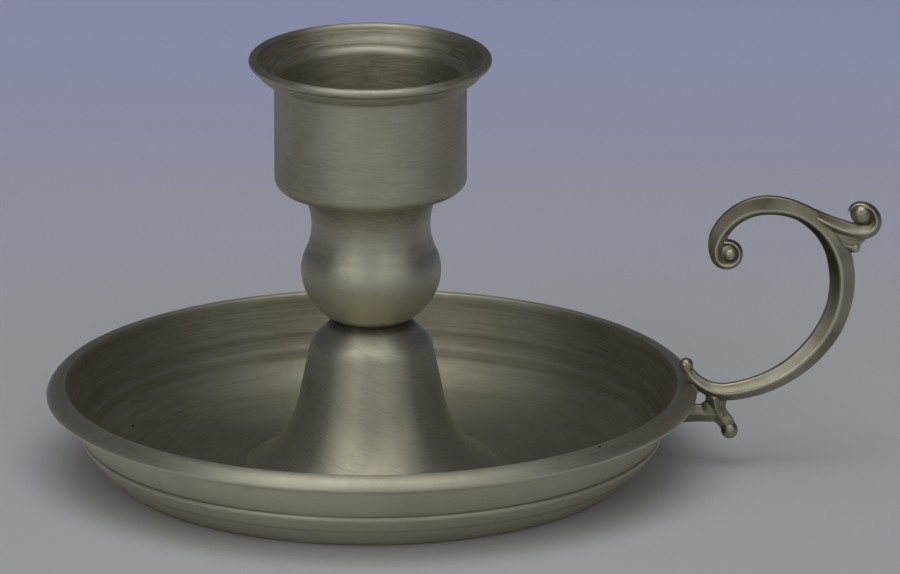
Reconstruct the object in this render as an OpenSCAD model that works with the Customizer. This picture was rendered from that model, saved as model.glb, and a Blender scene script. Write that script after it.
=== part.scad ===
// Chamberstick: a candle cup on a knop and a bell column, in a stepped drip dish with a cast scroll handle.
// Millimetres. +Z is up, the origin is the centre of the underside, and +X points at the handle.

/* [Dish] */
// Radius over the outer edge of the lip
dish_r = 70; // [62:1:90]
// Height of the lip's outer edge above the underside
dish_edge_z = 16.8; // [15:0.1:22]
// Height of the lip's rounded crest above its outer edge
lip_rise = 2.6; // [2:0.1:3.2]
// Width of the lip, from its crest to its outer edge
lip_w = 3.7; // [3:0.1:4.5]
// Radius of the flat underside
base_r = 54; // [40:0.5:55]
// Thickness of the dish's sheet
dish_t = 1.4; // [1:0.1:2]
// Distance of the outer step's corner inside the lip's edge
step_in = 7.8; // [7:0.1:9]
// Height of the outer step's corner
step_z = 7.4; // [6.5:0.1:9]

/* [Column] */
// Radius of the bell's foot on the dish floor
bell_foot_r = 26.4; // [24:0.1:34]
// Height of the column's closed crown, where the knop stands
crown_z = 33.8; // [31:0.1:45]
// Radius of the bell's shoulder, under its crown
bell_neck_r = 13.3; // [12:0.1:16]
// Radius of the bell's flare, near its foot
bell_flare = 11.4; // [9:0.1:13]
// Radius of the flare's easier curve above, up to the cone
bell_sweep = 25; // [18:0.5:30]
// Thickness of the column's sheet
bell_t = 1.2; // [0.8:0.1:1.6]

/* [Knop] */
// Radius of the flat seat between the column and the knop
seat_r = 8; // [7:0.1:9]
// Largest radius of the knop
knop_r = 15.05; // [13.5:0.05:18.1]
// Height of the knop's widest ring above its seat
knop_belly = 11.1; // [10:0.1:12.5]
// Radius of the knop's neck
knop_neck_r = 12.75; // [11.5:0.05:14.5]
// Height of the knop, from its seat to the cup
knop_h = 29.2; // [27:0.1:36]
// Thickness of the knop's wall
knop_t = 1.2; // [0.8:0.1:1.6]

/* [Candle cup] */
// Radius of the socket that takes the candle
socket_r = 19.6; // [17:0.05:24]
// Thickness of the cup's wall
cup_t = 1.05; // [0.8:0.05:1.6]
// Height of the cup's straight side, from its underside to the flare
cup_h = 24.5; // [20:0.1:40]
// Radius of the cup's lower corner
cup_corner = 2.5; // [2:0.1:4]
// Radius of the flare's hollow, seen from above
flare_r = 2.75; // [2:0.05:3.5]
// Radius of the rolled bead around the mouth
bead_r = 1; // [0.8:0.05:1.4]

/* [Scroll handle] */
// Thickness of the handle across its ridge, at its strongest place
handle_t = 4.6; // [3.4:0.1:6]
// Width of the handle's band, at its strongest place
handle_w = 5.6; // [4.6:0.1:6.4]
// Radius of the ball in the upper volute
eye_r = 1.55; // [1.2:0.05:1.7]
// Radius of the ball on the thumb spur
spur_eye_r = 2.2; // [1.8:0.05:2.3]
// Thickness of the plate inside a volute
volute_plate = 1.5; // [1:0.1:2]

/* [Solder] */
// Width of a solder fillet around the column
fillet_w = 0.7; // [0.4:0.1:1.2]
// Thickness of solder between the handle and the dish
solder_t = 0.3; // [0.2:0.05:0.5]

/* [Hidden] */

PEWTER = [0.55, 0.54, 0.47];
CAST_PEWTER = [0.58, 0.56, 0.46];
SOLDER = [0.66, 0.60, 0.50];

// Facets of an exact round, and points on a drawn arc
$fn = 96;
ARC_N = 10;

// Dish: heights and radii that follow from its sizes
floor_z = dish_t;
crest_r = dish_r - lip_w;
crest_z = dish_edge_z + lip_rise;
step_r = dish_r - step_in;
base_round = [1.9, 0.9];
step_round = [-0.2, 1.1];
underlip = [dish_r - 5, dish_edge_z - 1.7];
edge_t = 0.6;
edge_in = 0.5;
inner_shelf = [0.4, 1.3];
inner_riser = [0.5, 0.9];
inner_wall_top = [crest_r - 1.4, crest_z - 1.4];
crest_round = [0.35, 0.1];
cove_r = base_r - base_round[0];

// The inner step lies behind the outer one along the sloping side, with the wall's thickness between them
side_way = [step_r, step_z] - [base_r, 0] - base_round;
side_u = side_way / norm(side_way);
step_back = 2.1;
step_wall = 0.9;
inner_step = [step_r, step_z] - step_back * side_u + step_wall * [-side_u[1], side_u[0]] + inner_riser;

// Stem: heights of its seats
cup_z = crown_z + knop_h;
flare_z = cup_z + cup_h;
cup_r = socket_r + cup_t;
cove_c = [cup_r + 0.5, flare_z + cup_t + flare_r];
bead_c = cove_c + [flare_r + bead_r + 0.2, 0];
mouth_round = 1;

// Geometry of points in the r-z half plane

// Points on an arc about centre c, from angle a to angle b
function arc(c, r, a, b, n = ARC_N) = [
    for (k = [0:n]) let (t = a + (b - a) * k / n) c + r * [cos(t), sin(t)]
];

// Points from p to q on an arc that bulges by s to the right of the way from p to q
function bulge(p, q, s, n = ARC_N) =
    let (d = q - p, h = norm(d) / 2, r = (h * h + s * s) / (2 * abs(s)), side = sign(s),
         m = (p + q) / 2, u = d / norm(d), right = [u[1], -u[0]],
         c = m - right * (r - abs(s)) * side, half = asin(h / r),
         mid = atan2(right[1] * side, right[0] * side))
    [for (k = [0:n]) let (t = mid - side * half + side * 2 * half * k / n) c + r * [cos(t), sin(t)]];

// Unit vector to the left of the path at point i
function left_of(pts, i) =
    let (a = pts[max(i - 1, 0)], b = pts[min(i + 1, len(pts) - 1)], d = (b - a) / norm(b - a))
    [-d[1], d[0]];

// The path moved by d to its left
function beside(pts, d) = [for (i = [0:len(pts) - 1]) pts[i] + d * left_of(pts, i)];

function backwards(pts) = [for (i = [len(pts) - 1:-1:0]) pts[i]];

module turned(pts) { rotate_extrude() polygon(pts); }

// Outside of the dish, from the flat underside to the edge of the lip
function dish_outside() = concat(
    bulge([base_r, 0], [base_r, 0] + base_round, 0.25, 4),
    bulge([base_r, 0] + base_round, [step_r, step_z], 0.45),
    bulge([step_r, step_z], [step_r, step_z] + step_round, 0.25, 4),
    bulge([step_r, step_z] + step_round, underlip, 0.48),
    [[dish_r - edge_in, dish_edge_z - edge_t]]
);

// Sloping face of the lip, from its edge to its crest
function lip_face() = bulge([dish_r, dish_edge_z], [crest_r, crest_z], 0.75);

// Top of the lip, from its edge over the crest to the inner wall
function lip_top() = concat(
    lip_face(),
    bulge([crest_r, crest_z] - crest_round, inner_wall_top, 0.12, 3)
);

// Inside of the dish, from the wall under the lip down to the floor
function dish_inside() = concat(
    bulge(inner_wall_top, inner_step + inner_shelf, -0.3),
    [inner_step],
    bulge(inner_step - inner_riser, [cove_r, floor_z], -1.2)
);

module dish() {
    color(PEWTER) turned(concat([[0, 0]], dish_outside(), lip_top(), dish_inside(), [[0, floor_z]]));
}

// Outside of the bell, from its foot up the flare and the cone to the edge of the flat crown
shoulder_r = 5.3;
cone_lean = 11.8;
foot_t = 0.6;
// Directions from the flare's centres to its foot and to the place where its two curves meet
foot_turn = 255;
sweep_turn = 218;
flare_c = [bell_foot_r, floor_z + foot_t] - bell_flare * [cos(foot_turn), sin(foot_turn)];
sweep_c = flare_c + (bell_flare - bell_sweep) * [cos(sweep_turn), sin(sweep_turn)];
shoulder_c = [bell_neck_r - shoulder_r * cos(cone_lean), crown_z - 7.5];
function bell_outside() = concat(
    arc(flare_c, bell_flare, foot_turn, sweep_turn, 8),
    arc(sweep_c, bell_sweep, sweep_turn, 180 + cone_lean, 8),
    arc(shoulder_c, shoulder_r, cone_lean, 48),
    [[seat_r, crown_z]]
);

module bell_column() {
    outside = bell_outside();
    inside = beside(outside, bell_t);
    last = len(inside) - 1;
    color(PEWTER) turned(concat(
        [[bell_foot_r, floor_z]], outside,
        [[0, crown_z], [0, crown_z - bell_t], [inside[last][0], crown_z - bell_t]],
        backwards([for (p = inside) if (p[1] > floor_z && p[1] < crown_z - bell_t - 0.2) p]),
        [[bell_foot_r - 2.4, floor_z]]
    ));
}

// Outside of the knop, from its seat round the belly and up the neck to the cup
belly_z = crown_z + knop_belly;
seat_edge = [seat_r + 0.8, crown_z + 0.5];
bowl_way = [knop_r, belly_z] - seat_edge;
bowl_r = bowl_way * bowl_way / (2 * bowl_way[0]);
upper_r = 9;
neck_r = 14;
// The neck's arc touches the belly's upper arc
neck_z = belly_z + sqrt(pow(upper_r + neck_r, 2) - pow(knop_neck_r + neck_r - knop_r + upper_r, 2));
function knop_outside() =
    let (bowl_c = [knop_r - bowl_r, belly_z], upper_c = [knop_r - upper_r, belly_z],
         neck_c = [knop_neck_r + neck_r, neck_z],
         // Direction between the two arcs' centres, and the share of it where they meet
         way = neck_c - upper_c, meet = atan2(way[1], way[0]))
    concat(
        [[seat_r, crown_z]],
        arc(bowl_c, bowl_r, -asin(bowl_way[1] / bowl_r), 0, 14),
        arc(upper_c, upper_r, 0, meet, 6),
        arc(neck_c, neck_r, meet + 180, 180 - asin((cup_z - neck_z) / neck_r), 12)
    );

module knop() {
    outside = knop_outside();
    inside = beside(outside, knop_t);
    last = len(inside) - 1;
    color(PEWTER) turned(concat(
        outside,
        [[inside[last][0], cup_z]],
        backwards([for (p = inside) if (p[1] > crown_z + knop_t && p[1] < cup_z - 0.2) p]),
        [[seat_r - 1.2, crown_z + knop_t], [seat_r - 1.2, crown_z]]
    ));
}

// Candle cup: a spun cup whose flared mouth ends in a rolled bead
module candle_cup() {
    under_r = flare_r + cup_t;
    inner_corner = cup_corner - cup_t;
    cup_floor_z = cup_z + cup_t;
    color(PEWTER) turned(concat(
        [[0, cup_z]],
        arc([cup_r - cup_corner, cup_z + cup_corner], cup_corner, -90, 0),
        [[cup_r, flare_z]],
        arc(cove_c, under_r, 270, 344, 8),
        arc(bead_c, bead_r, -95, 182, 20),
        arc(cove_c, flare_r, 355, 270, 8),
        arc([socket_r + mouth_round, flare_z + cup_t - mouth_round], mouth_round, 90, 180, 6),
        backwards(arc([socket_r - inner_corner, cup_floor_z + inner_corner], inner_corner, -90, 0, 6)),
        [[0, cup_floor_z]]
    ));
}

// Cast scroll handle
// The band follows chains of tangent arcs in the X-Z plane. Each arc is [radius, sweep], and a sweep above
// zero turns left. A station is [point, heading, place along the chain in arcs].
STEP = 9;
function chain(p, h, arcs, i = 0) =
    i == len(arcs) ? [[p, h, i]] :
    let (r = arcs[i][0], sweep = arcs[i][1], s = sign(sweep), n = ceil(abs(sweep) / STEP),
         c = p + r * s * [-sin(h), cos(h)])
    concat(
        [for (k = [0:n - 1]) let (a = h + sweep * k / n) [c + r * s * [sin(a), -cos(a)], a, i + k / n]],
        chain(c + r * s * [sin(h + sweep), -cos(h + sweep)], h + sweep, arcs, i + 1)
    );

// Cross section of the band: a ridged lozenge w wide in the plane and t thick across it, with soft edges.
// The ridge leans by a share of the width, towards the outside of a left turn.
LOZENGE = [
    [0.5, 0.13], [0.3, 0.3], [0.07, 0.5], [-0.05, 0.48], [-0.32, 0.27], [-0.5, 0.14]
];
function half_ring(w, t, lean, side) =
    [for (p = LOZENGE) [(p[0] + lean * (1 - 2 * abs(p[0]))) * w, side * p[1] * t]];
function ring(w, t, lean) = concat(half_ring(w, t, lean, 1), backwards(half_ring(w, t, lean, -1)));

// Corners of the section at a station
function section(at, w, t, lean) =
    let (p = at[0], h = at[1], out = [sin(h), -cos(h)])
    [for (q = ring(w, t, lean)) [p[0] + out[0] * q[0], q[1], p[1] + out[1] * q[0]]];

// Convex link between two sections of the band
module link(a, b) {
    corners = concat(a, b);
    hull() polyhedron(corners, [[for (i = [0:len(corners) - 1]) i]]);
}

// Band along a chain, with tables of its widths, thicknesses and ridge leans at the places along it
module band(stations, widths, thicks, leans = [[0, 0]]) {
    rings = [
        for (s = stations) section(s, lookup(s[2], widths), lookup(s[2], thicks), lookup(s[2], leans))
    ];
    for (i = [0:len(rings) - 2]) link(rings[i], rings[i + 1]);
}

// A list of values as a table for lookup(), at 0, 1, 2 and so on
function table(values, share = 1) = [for (i = [0:len(values) - 1]) [i, values[i] * share]];

module across(x, z) { translate([x, 0, z]) rotate([90, 0, 0]) children(); }
module plate(x, z, r, t) { across(x, z) cylinder(r = r, h = t, center = true, $fn = 28); }
module ball(x, z, r) { translate([x, 0, z]) sphere(r = r, $fn = 24); }

// The handle's own points lie at these distances from the edge of the dish's lip
function from_lip(x, z) = [dish_r + x, dish_edge_z + z];

main_scroll = chain(from_lip(-2.2, 5.2), -64, [
    [9.2, 71], [28.1, 52], [22.4, 41], [15.75, 55], [15.4, 27], [11.85, 63], [7, 39], [2.5, 109], [2.6, 162]
]);
MAIN_W = [2.4, 4, 5.4, 5.6, 3.9, 4.3, 3.9, 2.6, 1.9, 1];
MAIN_T = [2.6, 3.6, 4.5, 4.6, 4.2, 3.8, 3.4, 3, 2.6, 2.4];
MAIN_LEAN = [0, 0, 0, -0.02, -0.12, -0.16, -0.08, 0, 0, 0];

spur_scroll = chain(from_lip(23.3, 40.8), -32, [
    [150, 1.2], [31.8, 9.6], [14.4, 20], [2.7, 100], [3.9, 72], [2.3, 85]
]);
SPUR_W = [1.6, 2.9, 3.7, 3.4, 2, 0.8, 0.7];
SPUR_T = [2.2, 2.9, 3.3, 3.3, 2.9, 2.5, 2.2];

leaf = chain(from_lip(26.5, 36.4), -41, [[20, 24]]);
LEAF_W = [2.6, 2];
LEAF_T = [3, 2.2];

bracket_curl = chain(from_lip(3.7, -0.9), -92, [[7.5, 46], [3, -59]]);
CURL_W = [4, 3.5, 3.2];
CURL_T = [3, 2.8, 2.6];
// The arm is long enough to reach through the dish's side, which cuts it to length
bracket_arm = chain(from_lip(5.4, -5.1), 173, [[60, 13]]);
ARM_W = [3.5, 4.8];
ARM_T = [2.6, 3.2];

volute_c = from_lip(7, 30.9);
volute_r = 2.5;
spur_volute_c = from_lip(35.2, 40);
spur_volute_r = 2.5;
leaf_tip = from_lip(33.8, 32.3);
lower_curl_c = from_lip(-2.4, 6.1);
lower_curl_r = 1.55;
bracket_tip = from_lip(6.9, -8.6);
bracket_tip_r = 1.85;
leaf_tip_r = 1.15;
FORK = [
    from_lip(26.6, 38), from_lip(36.1, 35), from_lip(34.4, 33.6), from_lip(33, 32.8), from_lip(30.6, 31)
];
fork_edge_r = 0.8;
fork_t = 1.8;
curl_plate = 2.4;

module volute(at, r, eye) {
    plate(at[0], at[1], r, volute_plate);
    ball(at[0], at[1], eye);
}

module lower_curl() {
    ball(lower_curl_c[0], lower_curl_c[1], lower_curl_r);
    plate(lower_curl_c[0], lower_curl_c[1], lower_curl_r, curl_plate);
}

// Web that fills the fork between the spur, its leaf and the band
module fork() {
    hull() {
        for (p = FORK) plate(p[0], p[1], fork_edge_r, fork_t);
    }
}

module bracket() {
    band(bracket_curl, table(CURL_W), table(CURL_T));
    band(bracket_arm, table(ARM_W), table(ARM_T));
    plate(bracket_tip[0], bracket_tip[1], bracket_tip_r, curl_plate);
    ball(bracket_tip[0], bracket_tip[1], bracket_tip_r);
}

module scroll_handle() {
    w = handle_w / max(MAIN_W);
    t = handle_t / max(MAIN_T);
    color(CAST_PEWTER) difference() {
        union() {
            band(main_scroll, table(MAIN_W, w), table(MAIN_T, t), table(MAIN_LEAN));
            band(spur_scroll, table(SPUR_W, w), table(SPUR_T, t));
            band(leaf, table(LEAF_W, w), table(LEAF_T, t));
            volute(volute_c, volute_r, eye_r);
            volute(spur_volute_c, spur_volute_r, spur_eye_r);
            ball(leaf_tip[0], leaf_tip[1], leaf_tip_r);
            lower_curl();
            fork();
            bracket();
        }
        dish_skin(solder_t);
    }
}

// Outer face of the dish up to the crest of its lip, and the same face grown by d
function outer_path() = concat(dish_outside(), lip_face());
function grown_path(d) = beside(outer_path(), -d);

// All that lies inside the grown face, which the handle's seats are cut to
module dish_skin(d) {
    rotate_extrude($fn = 360) polygon(concat([[0, -d]], grown_path(d), [[0, crest_z + d]]));
}

// A thin pad of solder over part of the dish's outer face, between two heights and within an angle
module pad(low, high, angle) {
    path = outer_path();
    grown = grown_path(solder_t);
    at = [for (i = [0:len(path) - 1]) if (path[i][1] >= low && path[i][1] <= high) i];
    rotate(-angle / 2) rotate_extrude(angle = angle)
        polygon(concat([for (i = at) path[i]], backwards([for (i = at) grown[i]])));
}

// Angles that the two pads take around the dish
lip_pad_angle = 1.8;
arm_pad_angle = 2.2;

module lip_solder() {
    color(SOLDER) pad(dish_edge_z, crest_z - 0.6, lip_pad_angle);
}

module bracket_solder() {
    color(SOLDER) pad(step_z + 3.2, underlip[1] - 0.9, arm_pad_angle);
}

// Width of the seam under the knop, and half its height
seam_w = 0.5;
seam_h = 0.1;

module column_solder() {
    color(SOLDER) turned([
        [bell_foot_r, floor_z], [bell_foot_r + fillet_w, floor_z], [bell_foot_r, floor_z + foot_t]
    ]);
}

module knop_solder() {
    outer = seat_r + seam_w;
    color(SOLDER) turned([[seat_r, crown_z], [outer, crown_z - seam_h], [outer, crown_z + seam_h]]);
}

module cup_solder() {
    path = knop_outside();
    top = path[len(path) - 1];
    color(SOLDER) turned([top, [top[0] + fillet_w, cup_z], path[len(path) - 2]]);
}

dish();
bell_column();
knop();
candle_cup();
scroll_handle();
column_solder();
knop_solder();
cup_solder();
lip_solder();
bracket_solder();
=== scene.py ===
# %% [markdown]
# # A pewter chamberstick
#
# The real object is a low drip dish with a candle cup on a turned column and a cast scroll for the finger.
# Its body is spun and turned on a lathe and then brushed, so almost every form is a profile carried round
# one axis. The scroll is a casting: a ridged band that runs along a chain of arcs and ends in polished balls.
#
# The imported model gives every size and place. The forms are made again here as finer surfaces, because a
# metal shows each facet of a coarse mesh in its reflections.

# %% Load the frame
import bpy
import math
import numpy as np
from mathutils import Matrix
from mathutils.kdtree import KDTree


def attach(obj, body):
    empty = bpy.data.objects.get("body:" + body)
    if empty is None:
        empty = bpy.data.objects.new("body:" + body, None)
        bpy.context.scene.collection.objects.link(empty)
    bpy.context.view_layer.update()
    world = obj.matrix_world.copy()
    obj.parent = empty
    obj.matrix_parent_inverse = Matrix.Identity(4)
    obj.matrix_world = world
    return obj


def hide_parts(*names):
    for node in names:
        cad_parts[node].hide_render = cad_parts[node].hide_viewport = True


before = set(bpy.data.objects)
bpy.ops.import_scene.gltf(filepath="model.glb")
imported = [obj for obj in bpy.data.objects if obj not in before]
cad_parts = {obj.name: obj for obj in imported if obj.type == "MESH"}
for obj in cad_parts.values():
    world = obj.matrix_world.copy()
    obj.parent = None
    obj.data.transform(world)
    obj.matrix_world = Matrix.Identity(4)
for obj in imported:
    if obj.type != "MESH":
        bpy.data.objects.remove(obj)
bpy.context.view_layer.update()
MM = 0.001
print("nodes", sorted(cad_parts))

# %% [markdown]
# ## The camera
#
# The photograph was taken from well above table height and from far away, so the ellipses of the dish and of
# the cup have nearly the same proportions. A long lens a few metres off gives that. The camera is placed from
# four facts: its elevation, its distance, the scale of the picture and the pixel of the object's origin.

# %% Place the camera
PICTURE = np.array([900.0, 574.0])
ORIGIN_PIXEL = np.array([371.9, 467.3])
PIXELS_PER_MM = 4.65
ELEVATION = math.radians(17.2)
DISTANCE = 5000.0
ROLL = 0.003
SENSOR = 36.0


def view_axes(elevation, roll):
    """Right, up and forward as rows: the forward axis dips by the elevation, and the roll turns the other two."""
    right = np.array([1.0, 0.0, 0.0])
    up = np.array([0.0, math.sin(elevation), math.cos(elevation)])
    forward = np.array([0.0, math.cos(elevation), -math.sin(elevation)])
    return (math.cos(roll) * right - math.sin(roll) * up,
            math.sin(roll) * right + math.cos(roll) * up, forward)


RIGHT, UP, FORWARD = view_axes(ELEVATION, ROLL)
from_origin = (PICTURE / 2 - ORIGIN_PIXEL) / PIXELS_PER_MM
eye = (from_origin[0] * RIGHT - from_origin[1] * UP - DISTANCE * FORWARD) * MM

camera_data = bpy.data.cameras.new("camera")
camera_data.sensor_width = SENSOR
camera_data.lens = SENSOR * PIXELS_PER_MM * DISTANCE / PICTURE[0]
camera_data.clip_end = 100.0
camera = bpy.data.objects.new("camera", camera_data)
bpy.context.scene.collection.objects.link(camera)
turn = Matrix((RIGHT, UP, -FORWARD)).transposed().to_4x4()
camera.matrix_world = Matrix.Translation(eye) @ turn
bpy.context.scene.camera = camera
print("lens", round(camera_data.lens), "mm, eye", eye.round(3))

# %% [markdown]
# ## Profiles
#
# A turned form is known by its half outline. Each outline below is a path of [radius, height] pairs in
# millimetres, made of straight runs and arcs, with the metal on its left. A real tool never leaves a perfectly
# sharp corner, so the path is rounded a little before it is turned, and its points gather where it bends.


# %% Arcs of a profile
def arc(centre, radius, start, end, count=24):
    """Points at radius from the centre, at angles in equal steps from start to end, in degrees."""
    angle = np.radians(np.linspace(start, end, count + 1))
    return np.asarray(centre) + radius * np.stack([np.cos(angle), np.sin(angle)], 1)


def bulge(start, end, rise, count=24):
    """An arc from start to end that stands out by rise to the right of the straight way between them.

    The radius is (half² + rise²) / 2 rise, where half is half of the straight way.
    """
    start, end = np.asarray(start, float), np.asarray(end, float)
    way = end - start
    half = np.hypot(*way) / 2
    ahead = way / (2 * half)
    side = np.array([ahead[1], -ahead[0]]) * np.sign(rise)
    radius = (half ** 2 + rise ** 2) / (2 * abs(rise))
    reach = math.asin(half / radius)
    angle = np.linspace(-reach, reach, count + 1)[:, None]
    centre = (start + end) / 2 - side * (radius - abs(rise))
    return centre + radius * (np.cos(angle) * side + np.sin(angle) * ahead)


def beside(path, gap):
    """The path moved by gap to its left, along the mean direction of its neighbours."""
    ahead = np.gradient(path, axis=0)
    ahead /= np.linalg.norm(ahead, axis=1, keepdims=True)
    return path + gap * np.stack([-ahead[:, 1], ahead[:, 0]], 1)


# %% Round a profile and measure its bends
FINE = 0.04


def soften(path, rounding, count, ring=False, longest=3.0, sharpest=4.0):
    """Rounds a path's corners and picks count points along it, closer together where it bends.

    The path is cut into equal fine steps and each point becomes the weighted mean of those within the
    rounding. A point is then due after each longest run in millimetres or each sharpest turn in degrees.
    Returns the points and their signed bend in 1/mm, which is positive on an edge and negative in a corner.
    """
    path = np.asarray(path, float)
    if ring:
        path = np.vstack([path, path[:1]])
    along = np.r_[0, np.cumsum(np.hypot(*np.diff(path, axis=0).T))]
    steps = int(along[-1] / FINE)
    place = np.linspace(0, along[-1], steps + 1)
    fine = np.stack([np.interp(place, along, path[:, k]) for k in (0, 1)], 1)
    reach = max(int(rounding / FINE), 1)
    if ring:
        padded = np.vstack([fine[-reach - 1:-1], fine, fine[1:reach + 1]])
    else:
        mirror = np.array([-1.0, 1.0])
        padded = np.vstack([fine[reach:0:-1] * mirror, fine, fine[-2:-reach - 2:-1] * mirror])
    window = np.hanning(2 * reach + 3)[1:-1]
    window /= window.sum()
    fine = np.stack([np.convolve(padded[:, k], window, "valid") for k in (0, 1)], 1)
    step = np.gradient(fine, axis=0)
    heading = np.unwrap(np.arctan2(step[:, 1], step[:, 0]))
    bend = np.gradient(heading) / np.maximum(np.hypot(*step.T), 1e-9)
    due = np.r_[0, np.cumsum(np.full(steps, FINE / longest) + np.abs(np.diff(heading)) / math.radians(sharpest))]
    pick = np.interp(np.linspace(0, due[-1], count + int(ring)), due, np.arange(steps + 1))
    if ring:
        pick = pick[:-1]
    chosen = np.stack([np.interp(pick, np.arange(steps + 1), fine[:, k]) for k in (0, 1)], 1)
    return chosen, np.interp(pick, np.arange(steps + 1), bend)


# %% Make a mesh from a grid of points
def mesh_of(name, points, faces, masks=None):
    """A smooth mesh from arrays: points in millimetres become metres, and each mask is a value per point."""
    mesh = bpy.data.meshes.new(name)
    mesh.from_pydata(np.asarray(points) * MM, [], [row[row >= 0].tolist() for row in faces])
    for key, values in (masks or {}).items():
        mesh.attributes.new(key, "FLOAT", "POINT").data.foreach_set("value", np.asarray(values, np.float32))
    mesh.polygons.foreach_set("use_smooth", np.ones(len(mesh.polygons), bool))
    mesh.update()
    return mesh


def grid_faces(rows, columns, wrap_rows=False):
    """Quads between neighbours of a grid whose columns close round: (i, j), (i, j+1), (i+1, j+1), (i+1, j)."""
    i, j = np.meshgrid(np.arange(rows if wrap_rows else rows - 1), np.arange(columns), indexing="ij")
    below, beyond = (i + 1) % rows, (j + 1) % columns
    quads = [i * columns + j, i * columns + beyond, below * columns + beyond, below * columns + j]
    return np.stack(quads, -1).reshape(-1, 4)


def closed_grid(grid, first, last):
    """Points and faces of a grid (rows, columns, 3) with its first and last rows drawn together in two poles."""
    rows, columns = grid.shape[:2]
    points = np.vstack([grid.reshape(-1, 3), [first], [last]])
    j = np.arange(columns)
    beyond = (j + 1) % columns
    end = (rows - 1) * columns
    start_fan = np.stack([np.full(columns, rows * columns), beyond, j, np.full(columns, -1)], 1)
    end_fan = np.stack([np.full(columns, rows * columns + 1), end + j, end + beyond, np.full(columns, -1)], 1)
    return points, np.vstack([grid_faces(rows, columns), start_fan, end_fan])


# %% Turn a profile
def turned(name, path, rounding=0.15, count=200, around=240, ring=False, film_and_shade=None, **pace):
    """A solid of revolution: each profile point [r, z] becomes the circle (r cos a, r sin a, z).

    Three masks go with it. "crevice" is how far a point lies in a corner, "edge" how far it stands on one, and
    the third, from the function given for it, is how much tarnish film and painted shade darken each profile point.
    """
    profile, bend = soften(path, rounding, count, ring, **pace)
    angle = 2 * math.pi * np.arange(around) / around
    round_ = np.stack([np.cos(angle), np.sin(angle)], 1)
    inside = profile if ring else profile[1:-1]
    grid = np.concatenate([
        inside[:, None, :1] * round_[None], np.broadcast_to(inside[:, None, 1:], (len(inside), around, 1))
    ], 2)
    if ring:
        points, faces = grid.reshape(-1, 3), grid_faces(len(inside), around, True)
        order = np.repeat(np.arange(len(profile)), around)
    else:
        points, faces = closed_grid(grid, [0, 0, profile[0, 1]], [0, 0, profile[-1, 1]])
        order = np.r_[np.repeat(np.arange(1, len(profile) - 1), around), 0, len(profile) - 1]
    darkening = np.clip(film_and_shade(*profile.T), 0, 1) if film_and_shade else np.zeros(len(profile))
    masks = {"crevice": np.clip(-bend, 0, 2) / 2, "edge": np.clip(bend, 0, 2) / 2, "film_and_shade": darkening}
    masks = {key: values[order] for key, values in masks.items()}
    piece = bpy.data.objects.new(name, mesh_of(name, points, faces, masks))
    bpy.context.scene.collection.objects.link(piece)
    print(name, len(points), "points", len(faces), "faces")
    return piece


# %% [markdown]
# ## The drip dish
#
# The dish has a flat underside, a side in two steps, a sloping lip that overhangs a hollow, and the same steps
# again inside. One profile holds all of it, so the sheet keeps its true thickness everywhere.

# %% Sizes of the dish
DISH_R, EDGE_Z, LIP_RISE, LIP_W = 70.0, 16.8, 2.6, 3.7
BASE_R, DISH_T, STEP_IN, STEP_Z = 54.0, 1.4, 7.8, 7.4
CREST = np.array([DISH_R - LIP_W, EDGE_Z + LIP_RISE])
STEP_R = DISH_R - STEP_IN


# %% Profile of the dish
def dish_profile():
    """Underside, sloping side, step, upper wall, lip and the same inside, from axis to axis.

    The inner step's edge lies level with the outer one, and a short steep riser leads down to the wide cove.
    """
    foot, step = np.array([BASE_R, 0.0]), np.array([STEP_R, STEP_Z])
    base_round = np.array([1.9, 0.9])
    step_top, underlip = step + [-0.2, 1.1], [DISH_R - 5.0, EDGE_Z - 1.7]
    wall_top, bend = CREST - [1.0, 1.6], step + [0.5, 4.4]
    inner_step, inner_foot = step + [-1.2, 1.0], step + [-1.8, -0.9]
    return np.vstack([
        [[0, 0]], bulge(foot, foot + base_round, 0.25),
        bulge(foot + base_round, step, 0.45)[1:],
        bulge(step, step_top, 0.25)[1:],
        bulge(step_top, underlip, 0.48)[1:],
        [[DISH_R - 0.5, EDGE_Z - 0.6]],
        bulge([DISH_R, EDGE_Z], CREST, 0.75),
        bulge(CREST - [0.35, 0.1], wall_top, 0.12),
        bulge(wall_top, bend, -0.15)[1:],
        bulge(bend, inner_step, -0.3)[1:],
        bulge(inner_foot, [BASE_R - base_round[0], DISH_T], -1.0),
        [[0, DISH_T]],
    ])


def inside_dish(r, z):
    """Film on everything that lies on the inner side of the middle of the sheet."""
    middle = np.interp(z, [0.7, 4.5, 8.1, 17, 19.6], [54, 60.2, 61.5, 65.2, 66])
    film = np.interp(z, [2, 6.5, 8.4, 12], [0.31, 0.36, 0.46, 0.52])
    return np.where((z > 0.7) & (r < middle), film, 0.12 * (z > EDGE_Z))


dish = turned("spun_dish", dish_profile(), rounding=0.7, count=300, around=288, film_and_shade=inside_dish,
              longest=4.0, sharpest=3.0)

# %% [markdown]
# ## The column, the knop and the cup
#
# The bell column flares out to a thin foot that is soldered to the dish floor. The knop is a hollow bulb whose
# neck opens out under the cup, and the cup's mouth flares into a shallow gutter with a rolled bead.

# %% The bell column
FOOT_R, CROWN_Z, SHOULDER_R, FLARE, SWEEP, BELL_T, FOOT_T = 26.4, 33.8, 5.3, 11.4, 25.0, 1.2, 0.6
NECK_R, CONE_LEAN, SEAT_R = 13.3, 11.8, 8.0
FOOT_TURN, SWEEP_TURN = 255.0, 218.0


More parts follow.
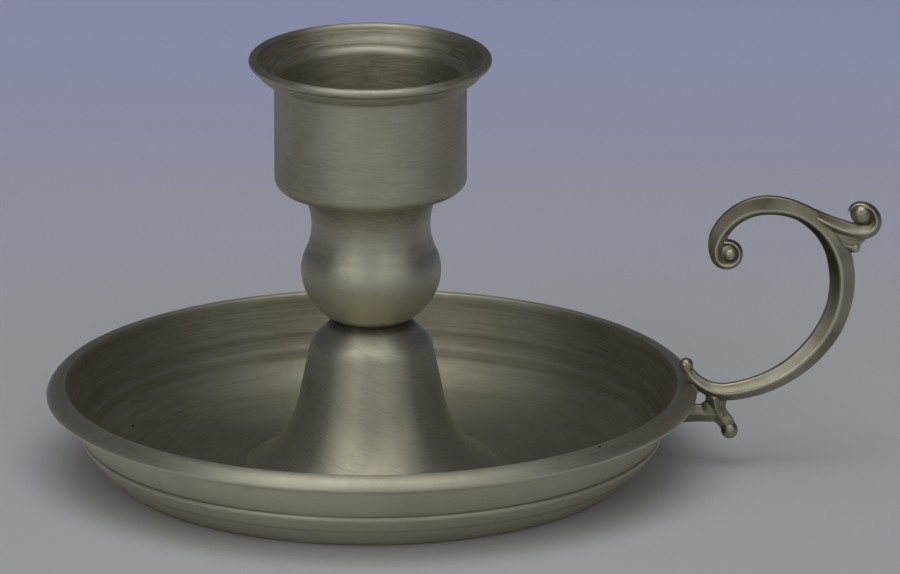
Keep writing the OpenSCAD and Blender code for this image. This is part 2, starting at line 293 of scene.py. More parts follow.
def bell_profile():
    """From the axis under the crown down the hollow, round the foot and up the outside to the crown."""
    foot = np.array([FOOT_R, DISH_T + FOOT_T])
    toward_foot, toward_meet = arc([0, 0], 1, FOOT_TURN, SWEEP_TURN, 1)
    flare = foot - FLARE * toward_foot
    outside = np.vstack([
        arc(flare, FLARE, FOOT_TURN, SWEEP_TURN),
        arc(flare + (FLARE - SWEEP) * toward_meet, SWEEP, SWEEP_TURN, 180 + CONE_LEAN)[1:],
        arc([NECK_R - SHOULDER_R * math.cos(math.radians(CONE_LEAN)), CROWN_Z - 7.5], SHOULDER_R, CONE_LEAN, 48),
        [[SEAT_R, CROWN_Z]],
    ])
    inside = beside(outside, BELL_T)
    inside = inside[(inside[:, 1] > DISH_T) & (inside[:, 1] < CROWN_Z - BELL_T - 0.2)][::-1]
    return np.vstack([
        [[0, CROWN_Z - BELL_T], [SEAT_R - 0.5, CROWN_Z - BELL_T]], inside,
        [[FOOT_R - 2.4, DISH_T], [FOOT_R, DISH_T]], outside, [[0, CROWN_Z]],
    ])


# Painted shade: the bell is darker under the knop at the crown and low down where it meets the dish floor, with a light
# film elsewhere.
bell = turned("bell_shell", bell_profile(), rounding=0.3, count=240, around=192, longest=1.5,
              film_and_shade=lambda r, z: np.maximum(1.4 - (CROWN_Z - z) / 1.5, 0.3 - (z - DISH_T) / 2).clip(0.1))

# %% The knop
KNOP_R, BELLY, KNOP_NECK_R, KNOP_H, KNOP_T = 15.05, 11.1, 12.75, 29.2, 1.2
UPPER_R, NECK_ARC = 9.0, 14.0
CUP_Z = CROWN_Z + KNOP_H


def knop_outside():
    """Bowl, upper belly and neck: three arcs that touch, so the outline has no kink."""
    belly_z = CROWN_Z + BELLY
    edge = np.array([SEAT_R + 0.8, CROWN_Z + 0.5])
    way = np.array([KNOP_R, belly_z]) - edge
    bowl = way @ way / (2 * way[0])
    across = KNOP_NECK_R + NECK_ARC - KNOP_R + UPPER_R
    neck_z = belly_z + math.sqrt((UPPER_R + NECK_ARC) ** 2 - across ** 2)
    meet = math.degrees(math.atan2(neck_z - belly_z, across))
    rise = math.degrees(math.asin((CUP_Z - neck_z) / NECK_ARC))
    return np.vstack([
        [[SEAT_R, CROWN_Z]],
        arc([KNOP_R - bowl, belly_z], bowl, -math.degrees(math.asin(way[1] / bowl)), 0),
        arc([KNOP_R - UPPER_R, belly_z], UPPER_R, 0, meet)[1:],
        arc([KNOP_NECK_R + NECK_ARC, neck_z], NECK_ARC, meet + 180, 180 - rise)[1:],
    ])


knop_out = knop_outside()
knop_in = beside(knop_out, KNOP_T)
knop_top_in = [knop_in[-1, 0], CUP_Z]
knop_in = knop_in[(knop_in[:, 1] > CROWN_Z + KNOP_T) & (knop_in[:, 1] < CUP_Z - 0.2)][::-1]
knop_path = np.vstack([
    knop_out, [knop_top_in], knop_in, [[SEAT_R - 1.2, CROWN_Z + KNOP_T], [SEAT_R - 1.2, CROWN_Z]]
])
# Painted shade: the knop is darker where it sits on the bell's crown and towards the cup above it.
knop = turned("knop_bulb", knop_path, rounding=0.12, count=240, around=192, ring=True, longest=1.2,
              film_and_shade=lambda r, z: np.maximum(1.2 - (z - CROWN_Z) / 1.5, 0.65 - (CUP_Z - z) / 12))

# %% The candle cup
SOCKET_R, CUP_T, CUP_H, CORNER, MOUTH, BEAD = 19.6, 1.05, 24.5, 2.5, 2.75, 1.0


def cup_profile():
    """Underside, corner, straight side, underside of the flare, bead, hollow of the flare, socket and floor."""
    cup_r, flare_z = SOCKET_R + CUP_T, CUP_Z + CUP_H
    cove = np.array([cup_r + 0.5, flare_z + CUP_T + MOUTH])
    inner = CORNER - CUP_T
    mouth_round = 1.8
    return np.vstack([
        [[0, CUP_Z]], arc([cup_r - CORNER, CUP_Z + CORNER], CORNER, -90, 0), [[cup_r, flare_z]],
        arc(cove, MOUTH + CUP_T, 270, 344),
        arc(cove + [MOUTH + BEAD + 0.2, 0], BEAD, -95, 182),
        arc(cove, MOUTH, 352, 285),
        arc([SOCKET_R + mouth_round, flare_z + CUP_T - mouth_round], mouth_round, 80, 180),
        arc([SOCKET_R - inner, CUP_Z + CUP_T + inner], inner, 0, -90),
        [[0, CUP_Z + CUP_T]],
    ])


# Painted shade: the socket and its throat are darker, and the mouth is darker to dim its highlight; a light film covers
# the rest.
cup = turned("candle_socket_cup", cup_profile(), rounding=0.55, count=280, around=224, longest=1.5,
             film_and_shade=lambda r, z: np.where(r < SOCKET_R + 0.7, 0.35, np.where(z > CUP_Z + CUP_H, 0.4, 0.2)))

# %% [markdown]
# ## The cast scroll
#
# The band of the scroll follows arcs that touch each other. At each place it has a width in the plane of the
# scroll and a thickness across it, and its section is a lozenge with a soft ridge on each face. The volutes are
# small dished discs with a ball. All of them are closed surfaces that pass into each other, and one fine remesh
# blends them into a single skin with soft fillets, as the mould gives the real casting.

# %% Follow a chain of arcs
LIP_EDGE = np.array([DISH_R, EDGE_Z])
DEGREES_A_STEP = 1.5


def chain(start, heading, arcs):
    """Points, headings and places along arcs that touch. Each arc is (radius, sweep), and a left turn is positive.

    On an arc about c the point is c + r s (sin h, -cos h), where h is the heading and s the turn's sign.
    """
    point, rows = np.asarray(start, float), []
    for number, (radius, sweep) in enumerate(arcs):
        count = max(int(abs(sweep) / DEGREES_A_STEP), 2)
        share = np.arange(count + 1) / count
        h = np.radians(heading + sweep * share)
        r = radius * np.sign(sweep)
        centre = point + r * np.array([-math.sin(h[0]), math.cos(h[0])])
        path = centre + r * np.stack([np.sin(h), -np.cos(h)], 1)
        last = number == len(arcs) - 1
        rows.append(np.column_stack([path, h, number + share])[:None if last else -1])
        point, heading = path[-1], heading + sweep
    return np.vstack(rows)


# %% The band's section and its sweep
LOZENGE = np.array([
    [0.5, 0], [0.48, 0.16], [0.3, 0.3], [0.05, 0.5], [-0.03, 0.49], [-0.3, 0.27], [-0.48, 0.16], [-0.5, 0],
])
SECTION_POINTS = 56


def ridge_section():
    """The lozenge on both faces, with its corners rounded, as offsets (outwards, across) of a unit band."""
    half = LOZENGE[:-1]
    ring = np.vstack([half, LOZENGE[::-1][:-1] * [1, -1]])
    return soften(ring * 10, 0.5, SECTION_POINTS, ring=True, longest=0.8, sharpest=12)[0] / 10


SECTION = ridge_section()


def band(stations, widths, thicks, leans=(0.0,)):
    """A section carried along a chain: point = station + w u (sin h, -cos h) in the plane, and t v across it.

    The ridge leans to one side when u becomes u + lean (1 - 2 |u|), which leaves the edges where they are.
    """
    w, t, lean = (np.interp(stations[:, 3], np.arange(len(row)), row)[:, None] for row in (widths, thicks, leans))
    u = SECTION[:, 0] + lean * (1 - 2 * np.abs(SECTION[:, 0]))
    outward = np.stack([np.sin(stations[:, 2]), -np.cos(stations[:, 2])], 1)
    in_plane = stations[:, None, :2] + (w * u)[..., None] * outward[:, None]
    grid = np.stack([in_plane[..., 0], t * SECTION[:, 1], in_plane[..., 1]], -1)
    first, last = stations[0], stations[-1]
    return closed_grid(grid, [first[0], 0, first[1]], [last[0], 0, last[1]])


# %% Balls, discs and webs
def across_axis(centre, profile, around=48):
    """A profile [r, y] carried round a line across the scroll's plane: (x + r cos a, y, z + r sin a)."""
    angle = 2 * math.pi * np.arange(around) / around
    inside = np.asarray(profile)[1:-1]
    grid = np.stack([
        centre[0] + inside[:, :1] * np.cos(angle), np.repeat(inside[:, 1:], around, 1),
        centre[1] + inside[:, :1] * np.sin(angle)
    ], -1)
    return closed_grid(grid, [centre[0], profile[0][1], centre[1]], [centre[0], profile[-1][1], centre[1]])


def ball(centre, radius):
    """A sphere: its profile is the half circle from the near pole to the far one."""
    return across_axis(centre, arc([0, 0], radius, 90, -90, 32))


def disc(centre, radius, thick, dish_by=0.0):
    """A disc with a round rim, and both faces sunk by dish_by at the middle."""
    edge = thick / 2
    rim = arc([radius - edge, 0], edge, 90, -90, 16)
    face = np.array([[0, edge - dish_by], [radius * 0.35, edge - dish_by]])
    return across_axis(centre, np.vstack([face, rim, (face * [1, -1])[::-1]]))


def web(outline, thick, edge=0.35):
    """A lens over a closed outline: rings shrink towards its middle while the half thickness grows to thick / 2."""
    corners = np.asarray(outline, float)
    smooth, _ = soften(corners, 1.0, 64, ring=True, longest=0.6, sharpest=12)
    middle = smooth.mean(0)
    angle = np.radians(np.linspace(-80, 80, 21))
    share, half = np.cos(angle), np.sin(angle) * (thick / 2)
    share = share / share.max()
    half = half + np.sign(half) * edge * (1 - share)
    in_plane = middle + share[:, None, None] * (smooth - middle)
    grid = np.stack([
        in_plane[..., 0], np.broadcast_to(half[:, None], in_plane.shape[:2]), in_plane[..., 1]
    ], -1)
    return closed_grid(grid, [middle[0], half[0], middle[1]], [middle[0], half[-1], middle[1]])


# %% The forms of the scroll
def at(x, z):
    """A place given from the edge of the dish's lip."""
    return LIP_EDGE + [x, z]


def cut_to_side(form, depth=0.25):
    """Moves each point that lies deeper than depth in the dish's wall out to it, so the form ends in the wall."""
    points, faces = form
    wall = bulge([STEP_R - 0.2, STEP_Z + 1.1], [DISH_R - 5.0, EDGE_Z - 1.7], 0.48)
    least = np.interp(points[:, 2], wall[:, 1], wall[:, 0]) - depth
    points[:, 0] = np.maximum(points[:, 0], least)
    return points, faces


main = chain(at(-2.2, 5.2), -64, [
    (9.2, 71), (28.1, 52), (22.4, 41), (15.75, 55), (15.4, 27), (11.85, 63), (7, 39), (2.5, 109), (2.6, 162)
])
ROOT = chain(at(23.3, 40.8), 148, [(16.7, 7), (16.34, 13.5)])[-1]
spur = chain(ROOT[:2], -11.5, [
    (16.34, -13.5), (16.7, -7), (150, 1.2), (31.8, 9.6), (14.4, 20), (2.7, 100), (3.9, 72), (2.3, 85)
])
leaf = chain(at(26.5, 36.4), -41, [(20, 24)])
curl = chain(at(3.7, -0.9), -92, [(7.5, 46), (3, -59)])
arm = chain(at(5.4, -5.1), 173, [(60, 13)])

MAIN_W, MAIN_LEAN = [2.4, 4, 5.4, 5.6, 3.9, 4.3, 3.9, 2.6, 1.9, 1], [0, 0, 0, -0.02, -0.14, -0.2, -0.12, 0, 0, 0]
SPUR_W = [1, 1.6, 2.0, 2.8, 3.7, 3.4, 2, 0.8, 0.7]

forms = [
    band(main, MAIN_W, [2.6, 3.6, 4.5, 4.6, 4.2, 3.8, 3.4, 3, 2.6, 2.4], MAIN_LEAN),
    band(spur, SPUR_W, [1.2, 1.8, 2.2, 2.8, 3.3, 3.3, 2.9, 2.5, 2.2]),
    band(leaf, [2.6, 2], [3, 2.2]),
    band(curl, [4, 3.5, 3.2], [3, 2.8, 2.6]),
    cut_to_side(band(arm, [3.5, 4.8], [2.6, 3.2])),
    disc(at(7, 30.9), 2.5, 1.5), ball(at(7, 30.9), 1.55),
    disc(at(35.2, 40), 2.5, 2.2), ball(at(35.2, 40), 2.2),
    ball(at(33.8, 32.3), 1.15),
    disc(at(-2.4, 6.1), 1.55, 2.4), ball(at(-2.4, 6.1), 1.55),
    disc(at(6.9, -8.6), 1.85, 2.4), ball(at(6.9, -8.6), 1.85),
    web([at(1.5, -1.9), at(6.3, -1.2), at(6.1, -3.8), at(5.7, -6.2), at(3.2, -6.7), at(-0.4, -6.5), at(-0.4, -4)], 2.0),
    web([at(26, 38.6), at(30, 37), at(36.9, 35.2), at(35.2, 33), at(33, 31.8), at(30.2, 30)], 2.0),
]


# %% Join the forms and blend them into one casting
def joined(name, parts):
    """One mesh object from several closed (points, faces) pairs."""
    offsets = np.cumsum([0] + [len(points) for points, _ in parts[:-1]])
    points = np.vstack([points for points, _ in parts])
    faces = np.vstack([np.where(faces < 0, -1, faces + shift) for (_, faces), shift in zip(parts, offsets)])
    piece = bpy.data.objects.new(name, mesh_of(name, points, faces))
    bpy.context.scene.collection.objects.link(piece)
    return piece


def apply_modifiers(piece):
    """Replaces the piece's mesh by its evaluated one and clears its modifiers."""
    shape = bpy.data.meshes.new_from_object(piece.evaluated_get(bpy.context.evaluated_depsgraph_get()))
    piece.modifiers.clear()
    piece.data = shape
    shape.polygons.foreach_set("use_smooth", np.ones(len(shape.polygons), bool))


VOXEL = 0.18 * MM
scroll = joined("cast_scroll", forms)
remesh = scroll.modifiers.new("blend", "REMESH")
remesh.mode, remesh.voxel_size = "VOXEL", VOXEL
relax = scroll.modifiers.new("relax", "SMOOTH")
relax.factor, relax.iterations = 0.5, 5
apply_modifiers(scroll)
print("scroll", len(scroll.data.vertices), "points", len(scroll.data.polygons), "faces")


# %% Measure the scroll's bends
def bend_masks(mesh, passes=3):
    """Crevice and edge masks from the mesh itself.

    Along each edge the bend is (n2 - n1) · (p2 - p1) / |p2 - p1|². A point takes the mean of its edges, and a
    few passes of averaging with its neighbours spread it.
    """
    count = len(mesh.vertices)
    points, normals, edges = np.zeros(count * 3), np.zeros(count * 3), np.zeros(len(mesh.edges) * 2, np.int32)
    mesh.vertices.foreach_get("co", points)
    mesh.vertex_normals.foreach_get("vector", normals)
    mesh.edges.foreach_get("vertices", edges)
    points, normals, (a, b) = points.reshape(-1, 3) / MM, normals.reshape(-1, 3), edges.reshape(-1, 2).T
    way = points[b] - points[a]
    bend_on_edge = ((normals[b] - normals[a]) * way).sum(1) / np.maximum((way ** 2).sum(1), 1e-9)
    valence = np.bincount(a, minlength=count) + np.bincount(b, minlength=count)

    def gathered(on_a, on_b):
        return np.bincount(a, on_a, count) + np.bincount(b, on_b, count)

    bend = gathered(bend_on_edge, bend_on_edge) / valence
    for _ in range(passes):
        bend = (bend + gathered(bend[b], bend[a]) / valence) / 2
    for key, values in {"crevice": np.clip(-bend, 0, 1), "edge": np.clip(bend - 0.5, 0, 1)}.items():
        mesh.attributes.new(key, "FLOAT", "POINT").data.foreach_set("value", values.astype(np.float32))
    print("bend from", bend.min().round(2), "to", bend.max().round(2), "per mm")


bend_masks(scroll.data)


# %% Film and painted shade on the scroll's faces
def face_film_and_shade(mesh, bands):
    """A mask of film and painted shade for the scroll: the faces between the ridges are darkened, and a line along
    each ridge is lightened, as real polish and as a painted highlight.

    Each band gives its stations, widths and ridge leans, and the darkening on its outer and inner face, which is
    partly film and partly painted shade. A point belongs to the band in which it lies deepest. Its offset u across
    that band, from -0.5 on the inner edge to 0.5 on the outer one, tells the face, and the darkening thins out
    towards the ridge.
    """
    points = np.zeros(len(mesh.vertices) * 3)
    mesh.vertices.foreach_get("co", points)
    points = points.reshape(-1, 3)[:, ::2] / MM
    film, ridge_polish_and_highlight, depth = 0.3 * (points[:, 1] < 25), np.zeros(len(points)), np.full(len(points), -0.4)
    for stations, widths, leans, outer, inner in bands:
        tree = KDTree(len(stations))
        for number, row in enumerate(stations):
            tree.insert((row[0], row[1], 0), number)
        tree.balance()
        near = stations[[tree.find((x, z, 0))[1] for x, z in points]]
        offset = ((points - near[:, :2]) * np.stack([np.sin(near[:, 2]), -np.cos(near[:, 2])], 1)).sum(1)
        width, lean, outer_film_and_shade, inner_film_and_shade = (
            np.interp(near[:, 3], np.arange(len(row)), row) for row in (widths, leans, outer, inner)
        )
        away = np.linalg.norm(points - near[:, :2], axis=1)
        inside = width / 2 - away
        from_ridge = offset / width - lean
        here = np.where(from_ridge > 0, outer_film_and_shade, inner_film_and_shade) * np.clip((np.abs(from_ridge) - 0.03) / 0.1, 0, 1)
        line = np.clip(1.3 - np.abs(from_ridge) / 0.06, 0, 1)
        better = inside > depth
        film, ridge_polish_and_highlight = np.where(better, here, film), np.where(better, line, ridge_polish_and_highlight)
        depth = np.where(better, inside, depth)
    mesh.attributes.new("film_and_shade", "FLOAT", "POINT").data.foreach_set("value", film.astype(np.float32))
    # The ridge line is added to the edge mask, which the finish paints lighter: polish and a painted highlight.
    edge = np.zeros(len(points))
    mesh.attributes["edge"].data.foreach_get("value", edge)
    mesh.attributes["edge"].data.foreach_set("value", np.maximum(edge, 1.3 * ridge_polish_and_highlight).astype(np.float32))
    print("film on", round(float((film > 0.2).mean()), 2), "of the points")


# Film and painted shade on the faces of the main band and the spur, given per station for the outer and the inner face.
face_film_and_shade(scroll.data, [
    (main, MAIN_W, MAIN_LEAN, [0.3, 0.3, 0.35, 0.2, 0.3, 0.6, 0.5, 0.3, 0.2, 0.2],
     [0.2, 0, 0, 0.85, 0.85, 0.75, 0.5, 0.3, 0.2, 0.2]),
    (spur[spur[:, 3] > 2.6], SPUR_W, [0] * 9, [0.3, 0.3, 0.3, 0.4, 0.3, 0.3, 0.2, 0, 0],
     [0.3, 0.3, 0.3, 0.5, 0.4, 0.2, 0, 0, 0]),
])

# %% [markdown]
# ## Finishes
#
# The pewter has one colour but several histories. The lathe left fine lines round every turned form, a brush
# left slanting marks on the bell, a tarnish film lies in clouds and there are small pits. Each of these is a
# shader group, so that the turned body, the casting and the solder can use it with their own values. Handling
# polished the edges, and they are painted lighter as part of their highlight; the corners and the places under
# the knop, under the cup and in the socket are painted darker as shade. Both come from masks on the meshes,
# which also carry a film on the inside of the dish.


# %% Helpers for shader nodes
def new_group(name, inputs, outputs):
    """An empty shader group with value sockets: inputs are (name, default) pairs and outputs are names."""
    group = bpy.data.node_groups.new(name, "ShaderNodeTree")
    for key, value in inputs:
        group.interface.new_socket(key, in_out="INPUT", socket_type="NodeSocketFloat").default_value = value
    for key in outputs:
        group.interface.new_socket(key, in_out="OUTPUT", socket_type="NodeSocketFloat")
    return group, group.nodes.new("NodeGroupInput"), group.nodes.new("NodeGroupOutput")


def node(tree, kind, links=None, **settings):
    """A node with its settings, whose inputs are set from values or linked from other sockets."""
    made = tree.nodes.new("ShaderNode" + kind)
    for key, value in settings.items():
        setattr(made, key, value)
    for key, value in (links or {}).items():
        if isinstance(value, bpy.types.NodeSocket):
            tree.links.new(value, made.inputs[key])
        else:
            made.inputs[key].default_value = value
    return made


def maths(tree, operation, first, second=0.0, clamp=False):
    """The result socket of one Math node."""
    return node(tree, "Math", {0: first, 1: second}, operation=operation, use_clamp=clamp).outputs[0]


def ramp(tree, value, low, high, to_low=0.0, to_high=1.0):
    """A value mapped smoothly from low..high to to_low..to_high."""
    made = node(tree, "MapRange", {
        "Value": value, "From Min": low, "From Max": high, "To Min": to_low, "To Max": to_high
    }, interpolation_type="SMOOTHSTEP")
    return made.outputs["Result"]


# %% Lines round the axis
def turning_group():
    """Lathe lines: noise over height and radius in fine steps, but slow along the circle, so it draws arcs.

    The direction from the axis, as a unit vector, stands for the angle, which keeps the pattern free of a seam.
    """
    group, inside, out = new_group("turning_lines", [("Lines", 2500.0), ("Breaks", 4.0)], ["Lines"])
    place = node(group, "TexCoord").outputs["Object"]
    xyz = node(group, "SeparateXYZ", {0: place})
    flat = node(group, "CombineXYZ", {"X": xyz.outputs["X"], "Y": xyz.outputs["Y"]}).outputs[0]
    radius = node(group, "VectorMath", {0: flat}, operation="LENGTH").outputs["Value"]
    toward = node(group, "VectorMath", {0: flat}, operation="NORMALIZE").outputs["Vector"]
    toward = node(group, "VectorMath", {0: toward, "Scale": inside.outputs["Breaks"]}, operation="SCALE")
    height = maths(group, "MULTIPLY", xyz.outputs["Z"], inside.outputs["Lines"])
    along = node(group, "CombineXYZ", {"Z": height}).outputs[0]
    vector = node(group, "VectorMath", {0: toward.outputs["Vector"], 1: along}, operation="ADD").outputs["Vector"]
    depth = maths(group, "MULTIPLY", radius, inside.outputs["Lines"])
    noise = node(group, "TexNoise", {
        "Vector": vector, "W": depth, "Scale": 1.0, "Detail": 2.0, "Roughness": 0.6
    }, noise_dimensions="4D")
    group.links.new(noise.outputs["Fac"], out.inputs["Lines"])
    return group


TURNING = turning_group()


# %% Slanting brush marks, film and pits
def brushing_group():
    """Straight scratches: noise stretched along one direction of a plane, of which only the peaks are kept."""
    group, inside, out = new_group("brush_marks", [("Slant", 0.3), ("Fineness", 1400.0)], ["Marks"])
    place = node(group, "TexCoord").outputs["Object"]
    xyz = node(group, "SeparateXYZ", {0: place})
    lean = maths(group, "MULTIPLY", xyz.outputs["X"], inside.outputs["Slant"])
    level = maths(group, "ADD", xyz.outputs["Z"], lean)
    fine = maths(group, "MULTIPLY", level, inside.outputs["Fineness"])
    side = maths(group, "MULTIPLY", xyz.outputs["X"], 270.0)
    deep = maths(group, "MULTIPLY", xyz.outputs["Y"], 270.0)
    vector = node(group, "CombineXYZ", {"X": side, "Y": deep, "Z": fine}).outputs[0]
    noise = node(group, "TexNoise", {"Vector": vector, "Scale": 1.0, "Detail": 1.0})
    group.links.new(ramp(group, noise.outputs["Fac"], 0.5, 0.72), out.inputs["Marks"])
    return group


def film_group():
    """Tarnish: broad clouds, and finer ones that break their borders."""
    group, inside, out = new_group("dull_film", [("Scale", 30.0)], ["Clouds", "Mottle"])
    place = node(group, "TexCoord").outputs["Object"]
    broad = node(group, "TexNoise", {
        "Vector": place, "Scale": inside.outputs["Scale"], "Detail": 5.0, "Roughness": 0.6
    })
    small = node(group, "TexNoise", {"Vector": place, "Scale": 420.0, "Detail": 3.0, "Roughness": 0.65})
    group.links.new(ramp(group, broad.outputs["Fac"], 0.38, 0.68), out.inputs["Clouds"])
    group.links.new(small.outputs["Fac"], out.inputs["Mottle"])
    return group


def pits_group():
    """Casting pits: a dark dot at the middle of the few Voronoi cells whose random value is high."""
    group, inside, out = new_group("pits", [("Scale", 90.0), ("Size", 0.038), ("Share", 0.5)], ["Pits"])
    place = node(group, "TexCoord").outputs["Object"]
    cells = node(group, "TexVoronoi", {"Vector": place, "Scale": inside.outputs["Scale"]})
    luck = node(group, "SeparateColor", {0: cells.outputs["Color"]}).outputs[0]
    chosen = maths(group, "LESS_THAN", luck, inside.outputs["Share"])
    near = maths(group, "DIVIDE", cells.outputs["Distance"], inside.outputs["Size"])
    dot = ramp(group, near, 0.6, 1.0, 1.0, 0.0)
    group.links.new(maths(group, "MULTIPLY", dot, chosen), out.inputs["Pits"])
    return group


BRUSHING, FILM, PITS = brushing_group(), film_group(), pits_group()


# %% The pewter material
def effect(tree, group, **values):
    """A group placed in a material with its own values."""
    made = tree.nodes.new("ShaderNodeGroup")
    made.node_tree = group
    for key, value in values.items():
        made.inputs[key].default_value = value
    return made


def mixed(tree, share, first, second):
    """The colour between two others."""
    made = node(tree, "Mix", {"Factor": share}, data_type="RGBA")
    for socket, value in ((made.inputs[6], first), (made.inputs[7], second)):
        if isinstance(value, bpy.types.NodeSocket):
            tree.links.new(value, socket)
        else:
            socket.default_value = (*value, 1)
    return made.outputs[2]


def pewter(name, clean, film, bright, roughness, lines, brush, clouds, film_scale=30.0, polish=0.06, grain=0.6):
    """Metal whose colour, gloss and relief come from the lines, the brush marks, the film, the pits and the bends.
    Its colour also holds painted shade, darker in the corners and where the mesh's mask says, and a painted
    highlight, lighter on the edges, mixed with their real polish.

    lines, brush and clouds are how strongly each of them shows, from 0 to 1.
    """
    material = bpy.data.materials.new(name)
    material.use_nodes = True
    tree = material.node_tree
    shader = tree.nodes["Principled BSDF"]
    turning = effect(tree, TURNING, Lines=2600.0, Breaks=5.0).outputs["Lines"]
    broad = effect(tree, TURNING, Lines=420.0, Breaks=1.5).outputs["Lines"]
    marks = effect(tree, BRUSHING, Slant=0.32, Fineness=3000.0).outputs["Marks"]
    tarnish = effect(tree, FILM, Scale=film_scale)
    pit = effect(tree, PITS).outputs["Pits"]
    crevice = node(tree, "Attribute", attribute_name="crevice").outputs["Fac"]
    edge = node(tree, "Attribute", attribute_name="edge").outputs["Fac"]
    film_and_shade = node(tree, "Attribute", attribute_name="film_and_shade").outputs["Fac"]

    # Painted shade: the corners and the mask given with each mesh pull the colour towards the film colour, besides the
    # tarnish clouds.
    tarnish_and_shade = maths(tree, "MULTIPLY", tarnish.outputs["Clouds"], clouds)
    tarnish_and_shade = maths(tree, "ADD", tarnish_and_shade, maths(tree, "MULTIPLY", crevice, 0.9))
    tarnish_and_shade = maths(tree, "ADD", tarnish_and_shade, maths(tree, "MULTIPLY", film_and_shade, 0.8), clamp=True)
    colour = mixed(tree, tarnish_and_shade, clean, film)
    # Painted deep shade: where the mesh's mask is strong, the colour goes nearly black.
    deep_shade = maths(tree, "MULTIPLY", maths(tree, "POWER", film_and_shade, 2.0), 0.85)
    colour = mixed(tree, deep_shade, colour, [value * 0.15 for value in film])
    # Painted highlight with real polish: the edges are lightened towards the bright colour.
    colour = mixed(tree, maths(tree, "MULTIPLY", edge, 0.5), colour, bright)
    streak = ramp(tree, turning, 0.35, 0.65, 0.0, lines * 0.35)
    colour = mixed(tree, streak, colour, bright)
    scratch = ramp(tree, marks, 0.3, 1.0, 0.0, brush * 0.22)
    colour = mixed(tree, scratch, colour, film)
    colour = mixed(tree, pit, colour, [value * 0.12 for value in film])
    tree.links.new(colour, shader.inputs["Base Color"])

    gloss = ramp(tree, turning, 0.3, 0.7, roughness - 0.05 * lines, roughness + 0.07 * lines)
    gloss = maths(tree, "ADD", gloss, maths(tree, "MULTIPLY", tarnish_and_shade, 0.12))
    gloss = maths(tree, "SUBTRACT", gloss, maths(tree, "MULTIPLY", edge, polish))
    mottle = ramp(tree, tarnish.outputs["Mottle"], 0.3, 0.7, -0.03, 0.03)
    tree.links.new(maths(tree, "ADD", gloss, mottle, clamp=True), shader.inputs["Roughness"])
    shader.inputs["Metallic"].default_value = 1.0
    shader.inputs["Anisotropic"].default_value = grain
    shader.inputs["Anisotropic Rotation"].default_value = 0.25

    relief = maths(tree, "MULTIPLY", turning, lines)
    relief = maths(tree, "ADD", relief, maths(tree, "MULTIPLY", broad, lines * 1.2))
    relief = maths(tree, "ADD", relief, maths(tree, "MULTIPLY", marks, brush))
    relief = maths(tree, "ADD", relief, maths(tree, "MULTIPLY", tarnish.outputs["Mottle"], 0.5))
    relief = maths(tree, "SUBTRACT", relief, maths(tree, "MULTIPLY", pit, 3.0))
    bump = node(tree, "Bump", {"Height": relief, "Strength": 0.5, "Distance": 0.012 * MM})
    tree.links.new(bump.outputs["Normal"], shader.inputs["Normal"])
    return material


# BRIGHT is the polished colour. The lathe lines are lightened towards it, and so are the edges, as polish and as a
# painted highlight.
CLEAN, WARM_FILM, BRIGHT = (0.57, 0.543, 0.415), (0.24, 0.215, 0.14), (0.69, 0.66, 0.525)
spun = pewter("spun_pewter", CLEAN, WARM_FILM, BRIGHT, 0.45, 0.9, 0.2, 0.3)
brushed = pewter("brushed_pewter", CLEAN, WARM_FILM, BRIGHT, 0.44, 0.5, 1.0, 0.15)
dish_metal = pewter("dish_pewter", (0.6, 0.575, 0.435), WARM_FILM, BRIGHT, 0.48, 0.6, 0.1, 0.3, film_scale=22.0)
# The casting's bright colour is light, so that its edges, balls and ridges carry a painted highlight.
cast = pewter("cast_pewter", (0.48, 0.45, 0.335), (0.15, 0.13, 0.08), (0.76, 0.73, 0.56), 0.31, 0.0, 0.1, 0.45,
              film_scale=60.0, polish=0.08, grain=0.0)
solder = pewter("solder", (0.5, 0.475, 0.36), (0.28, 0.255, 0.18), (0.6, 0.57, 0.44), 0.45, 0.0, 0.0, 0.6,
                film_scale=200.0, grain=0.0)
# A nearly black solder for the seam under the knop: painted shade in the crevice there.
painted_shade_solder = pewter("painted_shade_solder", (0.13, 0.12, 0.09), (0.07, 0.06, 0.045), (0.2, 0.19, 0.15), 0.5, 0.0, 0.0, 0.6,
                     film_scale=200.0, grain=0.0)
print("materials", sorted(material.name for material in bpy.data.materials))

# %% [markdown]
# ## Putting the pieces on the frame
#
# Each new surface stands for one imported node, rides on the one body and gets a finish of its own, and the
# node is hidden. The solder seams keep the imported shapes and get the solder's finish; the seam under the knop
# gets a nearly black one, which paints the shade it lies in.

# %% Assign, ride and replace
finishes = {
    "dish": (dish, dish_metal), "bell_column": (bell, brushed), "knop": (knop, spun), "candle_cup": (cup, spun),
    "scroll_handle": (scroll, cast),
}
for name, (piece, material) in finishes.items():
    piece.data.materials.clear()
    piece.data.materials.append(material)
    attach(piece, "root")
    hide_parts(name)
# The seam under the knop gets the nearly black solder, as painted shade.
for name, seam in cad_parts.items():
    if name.endswith("_solder"):
        seam.data.materials.clear()
        seam.data.materials.append(painted_shade_solder if name == "knop_solder" else solder)
print("replaced", sorted(finishes))

# %% [markdown]
# ## Floor and light
#
# The object stands on a plain pale sheet that turns a little bluer towards the back. One large soft lamp above
# and behind the camera draws the long highlight down the column, and a weaker one on each side keeps the
# outlines readable. The world is dim, so the metal keeps its dark tones.


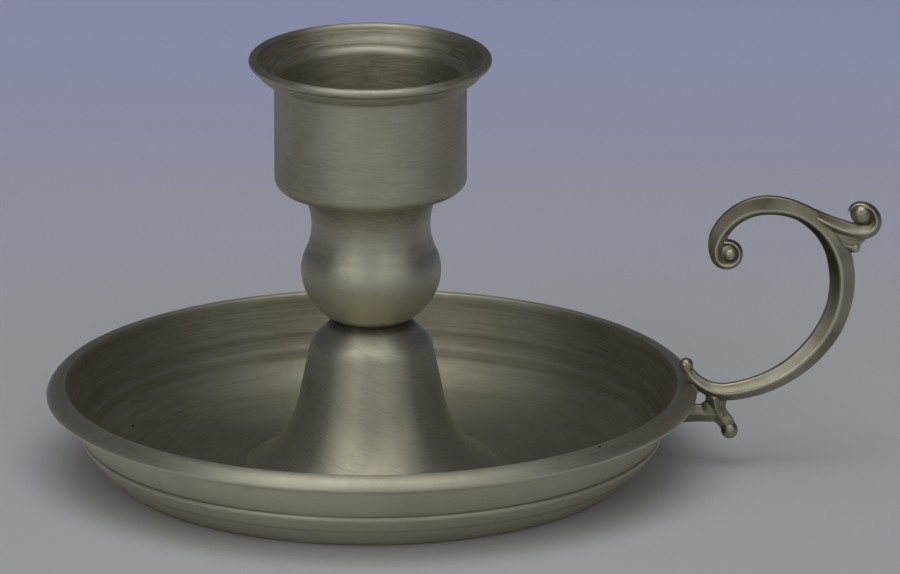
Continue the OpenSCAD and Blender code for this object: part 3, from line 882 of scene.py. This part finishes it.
# %% The floor
def plain_floor():
    """A flat square under the object, whose grey passes into a bluer one with the distance behind it."""
    half = 3000.0
    corners = np.array([[-half, -half, 0], [half, -half, 0], [half, half, 0], [-half, half, 0]])
    mesh = mesh_of("floor", corners - [0, 0, 0.02], np.array([[0, 1, 2, 3]]))
    floor = bpy.data.objects.new("floor", mesh)
    bpy.context.scene.collection.objects.link(floor)
    material = bpy.data.materials.new("floor_sheet")
    material.use_nodes = True
    tree = material.node_tree
    shader = tree.nodes["Principled BSDF"]
    place = node(tree, "TexCoord").outputs["Object"]
    back = node(tree, "SeparateXYZ", {0: place}).outputs["Y"]
    depth = maths(tree, "POWER", ramp(tree, back, 0.0, 0.36), 1.8)
    colour = mixed(tree, depth, (0.645, 0.645, 0.655), (0.61, 0.63, 0.93))
    tree.links.new(colour, shader.inputs["Base Color"])
    shader.inputs["Roughness"].default_value = 0.9
    shader.inputs["Specular IOR Level"].default_value = 0.1
    mesh.materials.append(material)
    return floor


plain_floor()


# %% The lamps and the world
def soft_lamp(name, place, target, size, power, colour=(1, 1, 1)):
    """A square area lamp at a place, turned towards a target, both in metres."""
    data = bpy.data.lights.new(name, "AREA")
    data.shape, data.size, data.size_y = "RECTANGLE", size[0], size[1]
    data.energy, data.color = power, colour
    lamp = bpy.data.objects.new(name, data)
    bpy.context.scene.collection.objects.link(lamp)
    forward = np.asarray(target, float) - place
    forward /= np.linalg.norm(forward)
    side = np.cross(forward, [0, 0, 1])
    side /= np.linalg.norm(side)
    axes = Matrix((side, np.cross(side, forward), -forward)).transposed().to_4x4()
    lamp.matrix_world = Matrix.Translation(place) @ axes
    return lamp


soft_lamp("key", [-0.1, -0.62, 1.6], [0, 0, 0], (1.9, 1.5), 8.6)
soft_lamp("overhead", [0, 0.001, 1.8], [0, 0, 0], (1.5, 1.5), 3.9)
soft_lamp("front", [-0.15, -2.0, 0.4], [0, 0, 0], (2.4, 0.7), 2.7)
soft_lamp("left", [-1.25, -1.38, 0.9], [0, 0, 0], (1.7, 1.1), 3.5)
soft_lamp("right", [1.25, -1.38, 0.9], [0, 0, 0], (1.7, 1.1), 3.1)
world = bpy.data.worlds.new("room")
bpy.context.scene.world = world
world.use_nodes = True
world.node_tree.nodes["Background"].inputs["Color"].default_value = (0.78, 0.85, 1, 1)
world.node_tree.nodes["Background"].inputs["Strength"].default_value = 0.1
bpy.context.scene.view_settings.view_transform = "Standard"
